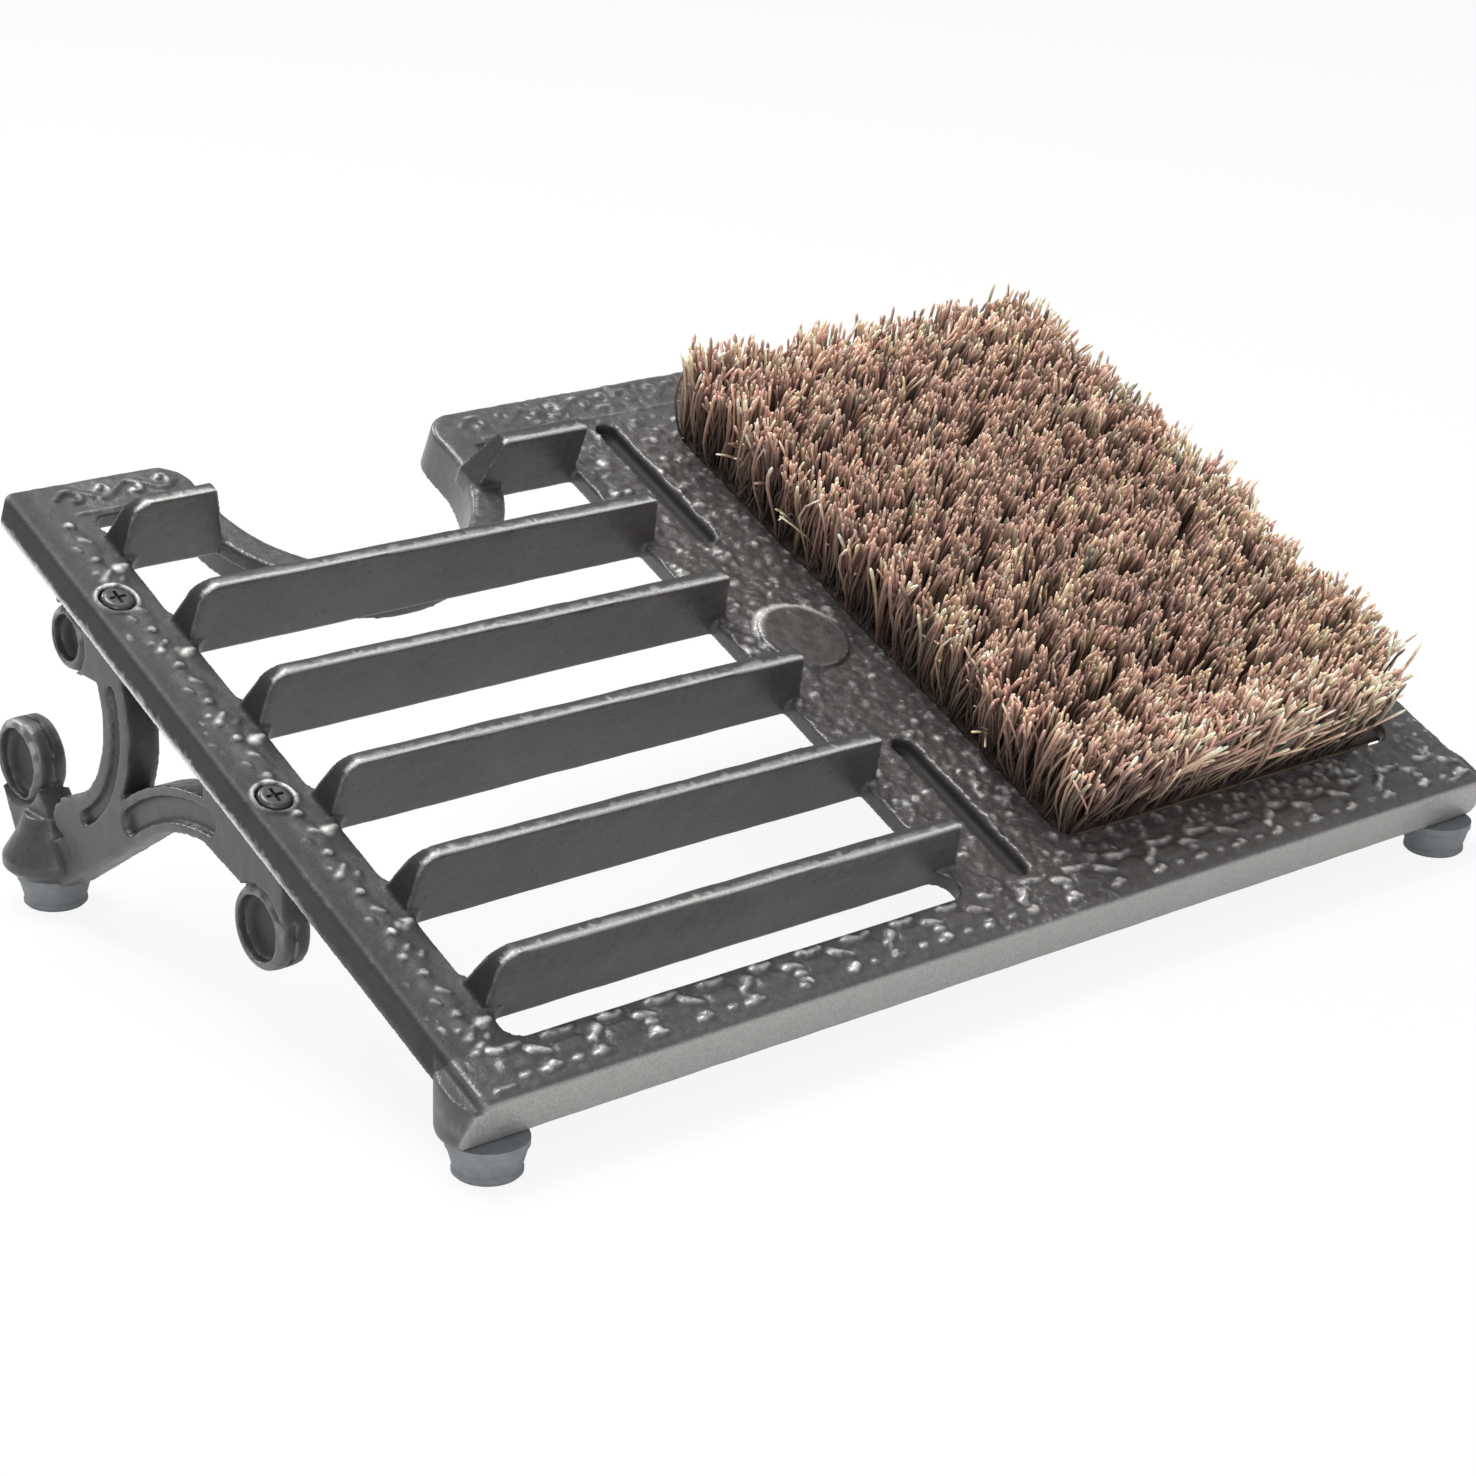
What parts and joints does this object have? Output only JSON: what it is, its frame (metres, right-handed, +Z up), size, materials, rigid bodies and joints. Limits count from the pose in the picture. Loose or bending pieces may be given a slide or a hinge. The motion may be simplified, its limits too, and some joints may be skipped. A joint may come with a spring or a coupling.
{
  "type": "boot scraper",
  "caption": "Free-standing cast iron boot scraper with wedge blades, a boot jack notch, a fibre brush and scrolled legs on rubber feet.",
  "frame": {"origin": "centre of the bounding box in X and Y, at ground level under the rubber feet", "axes": "+X along the front edge from the scraper half to the brush half, +Y back towards the raised edge with the notch, +Z up"},
  "size_m": [0.3342, 0.2081, 0.12],
  "materials": {
    "iron": "satin dark grey paint over as-cast iron",
    "leg_screw": "satin, painted over with the casting",
    "rubber": "matte grey-black rubber",
    "zinc": "zinc plated",
    "backing": "plain unvarnished",
    "bristle": "coarse brown plant fibre"
  },
  "bodies": {
    "root": {"frame_casting": "iron", "leg_left": "iron", "leg_right": "iron", "leg_screw_left_front": "leg_screw", "leg_screw_left_rear": "leg_screw", "leg_screw_right_front": "leg_screw", "leg_screw_right_rear": "leg_screw", "foot_front_left": "rubber", "foot_front_right": "rubber", "foot_rear_left": "rubber", "foot_rear_right": "rubber", "foot_washer_front_left": "zinc", "foot_washer_front_right": "zinc", "foot_washer_rear_left": "zinc", "foot_washer_rear_right": "zinc", "foot_screw_front_left": "zinc", "foot_screw_front_right": "zinc", "foot_screw_rear_left": "zinc", "foot_screw_rear_right": "zinc", "brush_backing": "backing", "brush_bristles": "bristle", "brush_screw_front_left": "zinc", "brush_screw_front_right": "zinc", "brush_screw_rear_left": "zinc", "brush_screw_rear_right": "zinc"}
  },
  "joints": []
}
